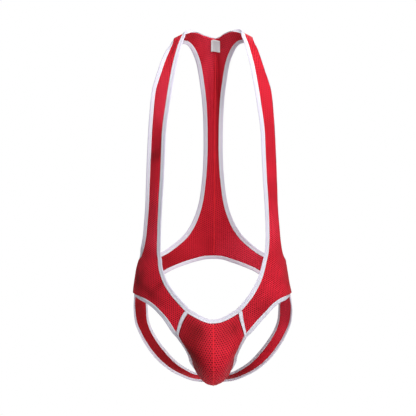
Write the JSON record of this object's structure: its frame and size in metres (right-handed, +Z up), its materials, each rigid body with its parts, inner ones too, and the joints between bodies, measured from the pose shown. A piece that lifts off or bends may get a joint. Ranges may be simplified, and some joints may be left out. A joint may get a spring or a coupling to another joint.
{
  "type": "wrestling singlet",
  "caption": "Open-front knitted mesh wrestling singlet with narrow shoulder straps, racer back, seamed pouch and leg straps, bound in pale tape.",
  "frame": {"origin": "midway between the tops of the two shoulder straps, where the garment is held up", "axes": "+Z up the garment, +Y towards its back, +X to its left as worn"},
  "size_m": [0.321, 0.2532, 0.7088],
  "materials": {
    "red_mesh": "knitted mesh",
    "white_tape": "folded knit tape",
    "label_cloth": "woven satin"
  },
  "bodies": {
    "root": {"front_panel_R": "red_mesh", "front_panel_L": "red_mesh", "back_panel_R": "red_mesh", "back_panel_L": "red_mesh", "pouch_R": "red_mesh", "pouch_L": "red_mesh", "leg_strap_R": "red_mesh", "leg_strap_L": "red_mesh", "neckline_binding": "white_tape", "lower_binding": "white_tape", "armhole_binding_R": "white_tape", "armhole_binding_L": "white_tape", "pouch_seam_tape_R": "white_tape", "pouch_seam_tape_L": "white_tape", "strap_leg_binding_R": "white_tape", "strap_leg_binding_L": "white_tape", "strap_seat_binding_R": "white_tape", "strap_seat_binding_L": "white_tape", "neck_label": "label_cloth"}
  },
  "joints": []
}
